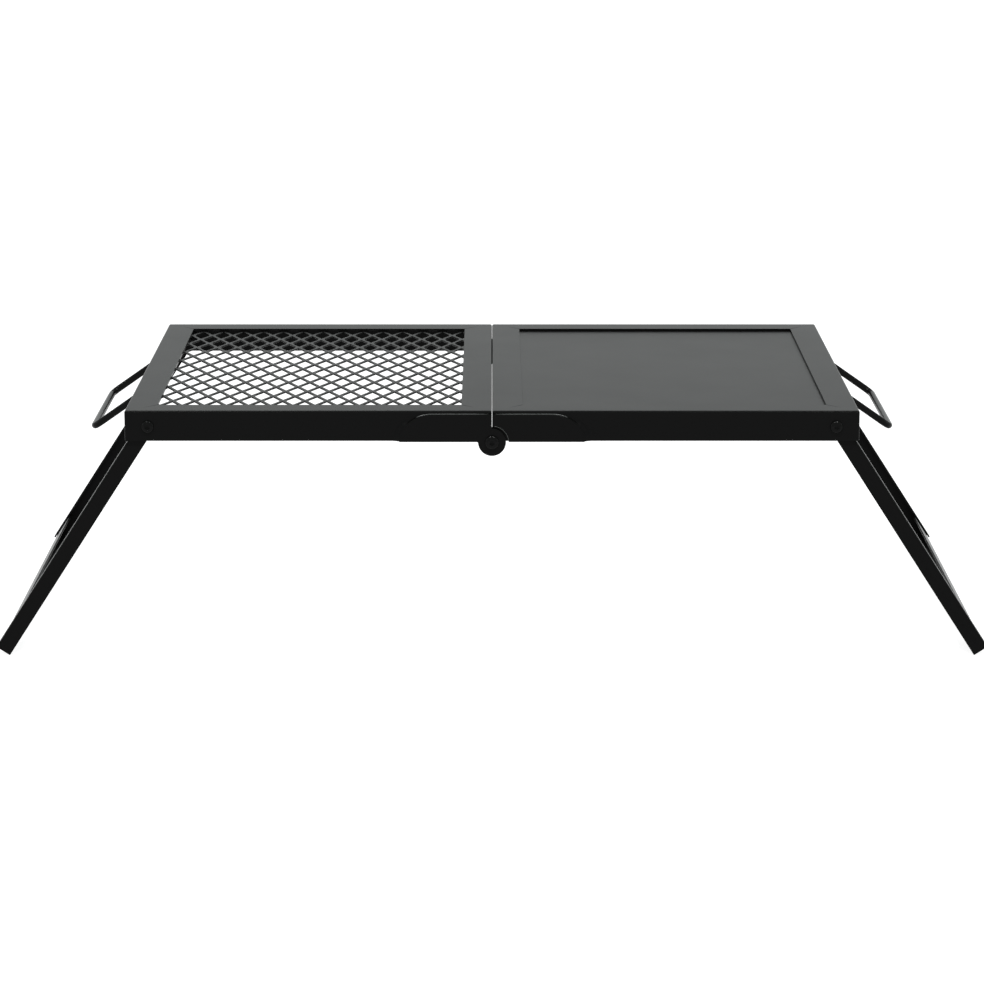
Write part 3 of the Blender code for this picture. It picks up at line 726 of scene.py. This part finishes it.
def nut_surface(node, fasteners):
    """A lock nut: a hexagon with turned corners, a round collar, and a bore."""
    low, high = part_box(node)
    height = high.y - low.y
    flat = (high.z - low.z) / 2
    edge = 0.0003
    bore = fasteners.shank / 2 + edge
    shoulder = height - fasteners.collar * 0.6
    rows = [
        (bore, edge, 0), (bore + edge, 0.0, 0), (flat * 0.98, 0.0, 0), (flat * 1.01, 0.0001, 0.35),
        (flat, 0.0006, 1), (flat, shoulder - 0.0006, 1), (flat * 1.005, shoulder - TURNED_EDGE, 0.35),
        (flat * 0.95, shoulder, 0), (flat * 0.86, shoulder + TURNED_EDGE, 0),
        (flat * 0.84, height - 0.0004, 0), (flat * 0.78, height, 0),
        (bore + edge, height, 0), (bore, height - edge, 0),
    ]
    return skin(placed(revolved(rows, TURNED_POINTS), node), closed=True)


def stitch(start, stop, normal, radius, ripple):
    """One run of weld: a bar whose radius swells and shrinks once per ripple, and tapers round at both ends.

    The taper is the square root of one minus the square of how far a ring is into the last radius of the run.
    """
    run = np.linalg.norm(stop - start)
    count = max(int(run / ripple), 2) * RINGS_PER_RIPPLE
    along = np.linspace(0.0, run, count + 1)
    swell = 1.0 + RIPPLE_SHARE * np.abs(np.sin(math.pi * along / ripple))
    close = np.clip(1.0 - np.minimum(along, run - along) / radius, 0.0, 1.0)
    radii = radius * swell * np.maximum(np.sqrt(1.0 - close ** 2), BLUNT_END)
    return tube(start + (stop - start) * (along / run)[:, None], normal, radii, STITCH_POINTS)


def stitches(start, stop, normal, welds):
    """Runs of weld spread evenly along an edge."""
    edge = np.linalg.norm(stop - start)
    count = max(round(edge / welds.spacing), 1)
    half = unit(stop - start) * min(welds.stitch, edge * 0.8) / 2
    centres = start + (stop - start) * ((np.arange(count) + 0.5) / count)[:, None]
    return [stitch(centre - half, centre + half, normal, welds.fillet, welds.ripple) for centre in centres]


def panel_welds(node, welds):
    """Stitches round a panel's edge, in the corner that it makes with the flange over it."""
    low, high = (np.array(corner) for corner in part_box(node))
    corners = [np.array([x, y, high[2]]) for x, y in (
        (low[0], low[1]), (high[0], low[1]), (high[0], high[1]), (low[0], high[1])
    )]
    up = np.array([0.0, 0.0, 1.0])
    surfaces = []
    for start, stop in zip(corners, corners[1:] + corners[:1]):
        surfaces += stitches(start, stop, up, welds)
    return surfaces


def bead(path, radius):
    """A thin run of weld along a path across Y, which tapers to a third at both ends."""
    radii = np.full(len(path), radius)
    radii[[0, -1]] /= 3
    return tube(path, ALONG_Y, radii, BEAD_POINTS)


def swept_end(node, welds):
    """A hinge plate's side and end, the X place where its swept end starts, its lower edge and its height."""
    low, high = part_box(node)
    side = -1.0 if node.startswith("hinge_plate") else 1.0
    base = frame_axis_height() + welds.lift
    return side, end_of(node), max(abs(low.x), abs(high.x)) - welds.sweep, base, high.z - base


def end_of(node):
    """Minus one at the front and one at the rear."""
    low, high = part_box(node)
    return math.copysign(1.0, low.y + high.y)


def face_of(node):
    """How far from the middle a node's outer face is, along Y."""
    low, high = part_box(node)
    return max(abs(low.y), abs(high.y))


def plate_seam(node, welds):
    """The seam along a hinge plate's top edge and the first of its swept end, on the skirt.

    Its path is level, then follows the quarter ellipse of the swept end until that turns down steeply.
    """
    side, end, straight, base, rise = swept_end(node, welds)
    level = np.linspace(welds.seam_start, straight - SEAM_STEP, 5)
    angle = np.linspace(math.pi / 2, welds.seam_end, 9)
    x = np.concatenate([level, straight + welds.sweep * np.cos(angle)])
    y = np.full(len(x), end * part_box("grill_frame")[1].y)
    z = np.concatenate([np.full(len(level), base + rise), base + rise * np.sin(angle)])
    return bead(np.stack([side * x, y, z], -1), welds.seam)


def sweep_blend(node, welds):
    """The weld round a swept end, ground to a slope from the hinge plate's face down to the skirt.

    Its path is the lower part of the quarter ellipse. Across it, the height falls by half a cosine wave from
    the plate's face to the skirt. Over the first stretch it rises out of the skirt by the sine of a quarter
    turn.
    """
    side, end, straight, base, rise = swept_end(node, welds)
    frame_low, frame_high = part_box("grill_frame")
    skirt, face = frame_high.y, face_of(node)
    angle = np.linspace(welds.blend_start, math.asin((frame_low.z - base) / rise), BLEND_RINGS)
    edge = np.stack([straight + welds.sweep * np.cos(angle), base + rise * np.sin(angle)], -1)
    out = np.stack([rise * np.cos(angle), welds.sweep * np.sin(angle)], -1)
    out /= np.linalg.norm(out, axis=1)[:, None]
    out[-1] = [1.0, 0.0]
    growth = np.sin(np.clip(np.arange(BLEND_RINGS) / BLEND_RISE_RINGS, 0.02, 1.0) * math.pi / 2)[:, None]
    across = np.linspace(0.0, 1.0, BLEND_POINTS)
    offset = across[None] * (welds.blend + welds.blend_overlap) - welds.blend_overlap
    top = (face - skirt + BLEND_SINK + BLEND_COVER) * growth
    rings = np.empty((BLEND_RINGS, BLEND_POINTS + 2, 3))
    surface, root = rings[:, :BLEND_POINTS], rings[:, BLEND_POINTS:]
    surface[:, :, 0] = edge[:, :1] + offset * out[:, :1]
    surface[:, :, 1] = skirt - BLEND_SINK + top * (1.0 + np.cos(math.pi * across)[None]) / 2
    surface[:, :, 2] = edge[:, 1:] + offset * out[:, 1:]
    root[:] = surface[:, [-1, 0]]
    root[:, :, 1] = skirt - BLEND_ROOT
    return skin(rings * np.array([side, end, 1.0]))


def bite_seam(node, welds):
    """The seam round a backing plate's bite: an arc about the fold axis, from near level to near upright."""
    angle = np.radians(np.linspace(*BITE_ARC, 17))
    y = np.full(len(angle), end_of(node) * (face_of(node) - 1.2 * welds.bite_seam))
    z = frame_axis_height() + welds.bite * np.sin(angle)
    return bead(np.stack([welds.bite * np.cos(angle), y, z], -1), welds.bite_seam)


def frame_axis_height():
    """Height of the fold axis."""
    return next(j["pos_m"] for j in frame["joints"] if j["name"] == "fold_first_half")[2]


def lug_welds(node, welds):
    """Stitches along a lug's top edge and far end, against the skirt's inner face."""
    low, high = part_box(node)
    y = end_of(node) * face_of(node)
    inset = 0.005
    top = [np.array([x, y, high.z]) for x in (low.x + 2 * inset, high.x - inset)]
    far = [np.array([high.x, y, z]) for z in (high.z - inset, low.z + 3.2 * inset)]
    return stitches(*top, ALONG_Y, welds) + stitches(*far, ALONG_Y, welds)


def crossbar_welds(side, welds):
    """Stitches up both ends of a crossbar's inner face, where it butts against the arms."""
    name = "left" if side < 0 else "right"
    pivot = np.array(next(j["pos_m"] for j in frame["joints"] if j["name"] == name + "_leg_fold"))
    cosine, sine = math.cos(welds.splay), side * math.sin(welds.splay)
    points = points_of(frame["nodes"][name + "_leg_crossbar"].data) - pivot
    outward = side * (points[:, 0] * cosine + points[:, 2] * sine)
    upward = points[:, 2] * cosine - points[:, 0] * sine
    inner = outward.max() - CROSSBAR_SINK
    low, high = upward.min() + CROSSBAR_LOWER_GAP, upward.max() - CROSSBAR_UPPER_GAP
    x_way, z_way = side * inner * cosine, side * inner * sine
    surfaces = []
    for end in (-1.0, 1.0):
        y = end * np.abs(points[:, 1]).max()
        run = [pivot + [x_way - z * sine, y, z_way + z * cosine] for z in (low, high)]
        surfaces.append(stitch(*run, ALONG_Y, welds.fillet, welds.ripple))
    return surfaces


def new_mesh(name, surface):
    """A mesh made from one surface's points and faces."""
    mesh = bpy.data.meshes.new(name)
    fill_mesh(mesh, *surface)
    return mesh


def coating_of(context, name, mitres=None):
    """The sheet steel's coating, under a name of its own."""
    finishes = context.scene.camp_grill_finishes
    return satin_stove_coating(
        name, finishes.coating, finishes.coating_roughness, finishes.coating_gloss, mitres
    )


class CAMP_GRILL_OT_sheet_steel(bpy.types.Operator):
    """Coats the frames, hinge plates, lugs, leg arms and crossbars, with their sheared edges rounded"""

    bl_idname = "camp_grill.sheet_steel"
    bl_label = "Coat the sheet steel"

    def execute(self, context):
        edge = context.scene.camp_grill_finishes.edge
        coating = coating_of(context, "satin_stove_coating")
        for node in SHEET_NODES:
            edged_copy(node, coating, edge)
        low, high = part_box("griddle_frame")
        flange = context.scene.camp_grill_grate.flange
        mitres = ((low.x + high.x) / 2, (high.x - low.x) / 2, high.y, flange)
        mitred = coating_of(context, "satin_stove_coating_mitred", mitres)
        for node in FRAME_NODES:
            edged_copy(node, mitred, edge)
        return {"FINISHED"}


class CAMP_GRILL_OT_griddle(bpy.types.Operator):
    """Coats the cooking plate"""

    bl_idname = "camp_grill.griddle"
    bl_label = "Coat the griddle plate"

    def execute(self, context):
        finishes = context.scene.camp_grill_finishes
        coating = satin_stove_coating(
            "satin_stove_coating_griddle", finishes.griddle,
            finishes.coating_roughness, finishes.coating_gloss,
        )
        edged_copy("griddle_plate", coating, finishes.edge)
        return {"FINISHED"}


class CAMP_GRILL_OT_grate(bpy.types.Operator):
    """Lays the strands of the expanded metal"""

    bl_idname = "camp_grill.grate"
    bl_label = "Lay the grate"

    def execute(self, context):
        coating = coating_of(context, "satin_stove_coating_grate")
        mesh = new_mesh("grate_strands", grate_surface(context.scene.camp_grill_grate))
        smooth_by_angle(mesh, degrees=60)
        put_piece("grate_strands", mesh, coating, "expanded_grate")
        return {"FINISHED"}


class CAMP_GRILL_OT_handles(bpy.types.Operator):
    """Bends both handle rods"""

    bl_idname = "camp_grill.handles"
    bl_label = "Bend the handles"

    def execute(self, context):
        finishes = context.scene.camp_grill_finishes
        coating = satin_stove_coating(
            "satin_coating_rod", finishes.rod, finishes.rod_roughness, finishes.rod_gloss
        )
        for node, joint in HANDLES.items():
            mesh = new_mesh(node + "_rod", handle_surface(node, joint, context.scene.camp_grill_handles))
            smooth_by_angle(mesh, degrees=50)
            put_piece(node + "_rod", mesh, coating, node)
        return {"FINISHED"}


class CAMP_GRILL_OT_fasteners(bpy.types.Operator):
    """Turns the screws and nuts, and blackens them with the washers and spacers"""

    bl_idname = "camp_grill.fasteners"
    bl_label = "Turn the screws and nuts"

    def execute(self, context):
        finishes = context.scene.camp_grill_finishes
        oxide = black_oxide_steel("black_oxide_steel", finishes.fastener, finishes.fastener_roughness)
        sizes = context.scene.camp_grill_fasteners
        for nodes, surface in ((SCREW_NODES, screw_surface), (NUT_NODES, nut_surface)):
            for node in nodes:
                mesh = new_mesh(node + "_turned", surface(node, sizes))
                smooth_by_angle(mesh, degrees=40)
                put_piece(node + "_turned", mesh, oxide, node)
        for node in RING_NODES:
            for place in frame["nodes"][node].material_slots:
                place.material = oxide
        return {"FINISHED"}


def add_welds(body, name, surfaces, material):
    """Puts runs of weld on a body as one object."""
    mesh = new_mesh(body + "_" + name, joined(surfaces))
    mesh.materials.append(material)
    smooth_by_angle(mesh, degrees=60)
    welds = bpy.data.objects.new(mesh.name, mesh)
    bpy.context.scene.collection.objects.link(welds)
    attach(welds, body)


class CAMP_GRILL_OT_welds(bpy.types.Operator):
    """Lays the weld seams that hold the panels, hinge plates, lugs and crossbars"""

    bl_idname = "camp_grill.welds"
    bl_label = "Lay the weld seams"

    def execute(self, context):
        welds = context.scene.camp_grill_welds
        finishes = context.scene.camp_grill_finishes
        coating = coating_of(context, "satin_stove_coating_welds")
        # The seams along the hinge plates and round the bites get a painted highlight: a light grey coating
        # in place of the light that their edges catch
        painted_highlight = satin_stove_coating(
            "thin_coating_plate_seams", finishes.bead, finishes.coating_roughness, finishes.bead_gloss
        )
        runs = {"grill_half": panel_welds("expanded_grate", welds)}
        runs["griddle_half"] = panel_welds("griddle_plate", welds)
        seams = {"grill_half": [], "griddle_half": []}
        for end in ("front", "rear"):
            for body, plate in (("grill_half", "hinge_plate_"), ("griddle_half", "hinge_backing_")):
                runs[body].append(sweep_blend(plate + end, welds))
                seams[body].append(plate_seam(plate + end, welds))
            runs["griddle_half"] += lug_welds("hinge_lug_" + end, welds)
            seams["griddle_half"].append(bite_seam("hinge_backing_" + end, welds))
        runs["left_leg"] = crossbar_welds(-1, welds)
        runs["right_leg"] = crossbar_welds(1, welds)
        for body, surfaces in runs.items():
            add_welds(body, "welds", surfaces, coating)
        for body, surfaces in seams.items():
            add_welds(body, "seams", surfaces, painted_highlight)
        return {"FINISHED"}


class CAMP_GRILL_OT_stage(bpy.types.Operator):
    """Sets the floor, the light and the camera"""

    bl_idname = "camp_grill.stage"
    bl_label = "Set the stage"

    def execute(self, context):
        stage = context.scene.camp_grill_stage
        add_floor(stage)
        add_sky(stage)
        add_side_lights(stage)
        add_lamps(stage)
        add_camera(stage)
        context.scene.view_settings.view_transform = "Standard"
        return {"FINISHED"}


def add_floor(stage):
    """A plain pale floor that glows a little, like an opal light table, so that it shows no shadow."""
    mesh = bpy.data.meshes.new("floor")
    low, high = -FLOOR_REACH, FLOOR_REACH
    mesh.from_pydata([(low, low, 0), (high, low, 0), (high, high, 0), (low, high, 0)], [], [(0, 1, 2, 3)])
    material, _, shader = new_material("opal_light_table")
    shader.inputs["Base Color"].default_value = (*stage.floor, 1.0)
    shader.inputs["Roughness"].default_value = 0.9
    shader.inputs["Specular IOR Level"].default_value = 0.1
    shader.inputs["Emission Color"].default_value = (1.0, 1.0, 1.0, 1.0)
    shader.inputs["Emission Strength"].default_value = stage.floor_glow
    mesh.materials.append(material)
    floor = bpy.data.objects.new("floor", mesh)
    floor.location.z = -FLOOR_DROP
    bpy.context.scene.collection.objects.link(floor)


def add_sky(stage):
    """A dome whose light changes from the horizon to overhead, by a smooth step on the height of the view."""
    world = bpy.data.worlds.new("studio_dome")
    world.use_nodes = True
    tree = world.node_tree
    tree.nodes.clear()
    place = add_node(tree, "ShaderNodeTexCoord").outputs["Generated"]
    height = add_node(tree, "ShaderNodeSeparateXYZ", links={"Vector": place}).outputs["Z"]
    shine = add_node(
        tree, "ShaderNodeMapRange",
        {"From Min": DOME_LOW, "From Max": DOME_HIGH, "To Min": stage.low_light, "To Max": stage.high_light},
        {"Value": height}, interpolation_type="SMOOTHSTEP",
    ).outputs["Result"]
    light = add_node(tree, "ShaderNodeBackground", {"Color": (*stage.sky, 1.0)}, {"Strength": shine})
    add_node(tree, "ShaderNodeOutputWorld", links={"Surface": light.outputs["Background"]})
    bpy.context.scene.world = world


def add_lamps(stage):
    """Two small lamps high over the front, which give rounded edges and screw heads their bright spots."""
    for side in (-1, 1):
        light = bpy.data.lights.new("lamp", "AREA")
        light.size = LAMP_SIZE
        light.energy = stage.lamp_light
        lamp = add_light(light, side, LAMP_PLACE)
        lamp.rotation_euler = (-lamp.location).to_track_quat("-Z", "Y").to_euler()


def add_side_lights(stage):
    """A softbox beyond each end, which lights the end walls and the handles."""
    for side in (-1, 1):
        light = bpy.data.lights.new("end_softbox", "AREA")
        light.shape = "RECTANGLE"
        light.size, light.size_y = SOFTBOX_SIZE
        light.energy = stage.side_light
        softbox = add_light(light, side, SOFTBOX_PLACE)
        softbox.rotation_euler = (SOFTBOX_TILT, 0.0, side * math.radians(90))


def add_light(light, side, place):
    """Stands a light at a place, or at its mirror image for side -1."""
    made = bpy.data.objects.new(light.name, light)
    made.location = (side * place[0], *place[1:])
    bpy.context.scene.collection.objects.link(made)
    return made


def add_camera(stage):
    """The camera at the photograph's place, level from side to side."""
    lens = bpy.data.cameras.new("camera")
    lens.sensor_width = SENSOR_SIDE
    lens.lens = stage.focal_length / PICTURE_SIDE * SENSOR_SIDE
    camera = bpy.data.objects.new("camera", lens)
    camera.location = (0.0, -stage.camera_distance, stage.camera_height)
    camera.rotation_euler = (math.pi / 2 - stage.camera_tilt, 0.0, 0.0)
    bpy.context.scene.collection.objects.link(camera)
    bpy.context.scene.camera = camera


GROUPS = {
    "camp_grill_finishes": CAMP_GRILL_PG_finishes,
    "camp_grill_grate": CAMP_GRILL_PG_grate,
    "camp_grill_handles": CAMP_GRILL_PG_handles,
    "camp_grill_fasteners": CAMP_GRILL_PG_fasteners,
    "camp_grill_welds": CAMP_GRILL_PG_welds,
    "camp_grill_stage": CAMP_GRILL_PG_stage,
}
OPERATORS = (
    CAMP_GRILL_OT_sheet_steel,
    CAMP_GRILL_OT_griddle,
    CAMP_GRILL_OT_grate,
    CAMP_GRILL_OT_handles,
    CAMP_GRILL_OT_fasteners,
    CAMP_GRILL_OT_welds,
    CAMP_GRILL_OT_stage,
)


class CAMP_GRILL_PT_panel(bpy.types.Panel):
    """The grill's pieces and their sizes"""

    bl_label = "Camp Grill"
    bl_idname = "CAMP_GRILL_PT_panel"
    bl_space_type = "VIEW_3D"
    bl_region_type = "UI"
    bl_category = "Camp Grill"

    def draw(self, context):
        for operator in OPERATORS:
            self.layout.operator(operator.bl_idname)
        for name, group in GROUPS.items():
            box = self.layout.box()
            for setting in group.__annotations__:
                box.prop(getattr(context.scene, name), setting)


def register():
    for group in GROUPS.values():
        bpy.utils.register_class(group)
    for name, group in GROUPS.items():
        setattr(bpy.types.Scene, name, bpy.props.PointerProperty(type=group))
    for operator in OPERATORS:
        bpy.utils.register_class(operator)
    bpy.utils.register_class(CAMP_GRILL_PT_panel)


def unregister():
    bpy.utils.unregister_class(CAMP_GRILL_PT_panel)
    for operator in reversed(OPERATORS):
        bpy.utils.unregister_class(operator)
    for name in GROUPS:
        delattr(bpy.types.Scene, name)
    for group in GROUPS.values():
        bpy.utils.unregister_class(group)


def main():
    register()
    bpy.ops.camp_grill.sheet_steel()
    bpy.ops.camp_grill.griddle()
    bpy.ops.camp_grill.grate()
    bpy.ops.camp_grill.handles()
    bpy.ops.camp_grill.fasteners()
    bpy.ops.camp_grill.welds()
    bpy.ops.camp_grill.stage()


if __name__ == "__main__":
    main()
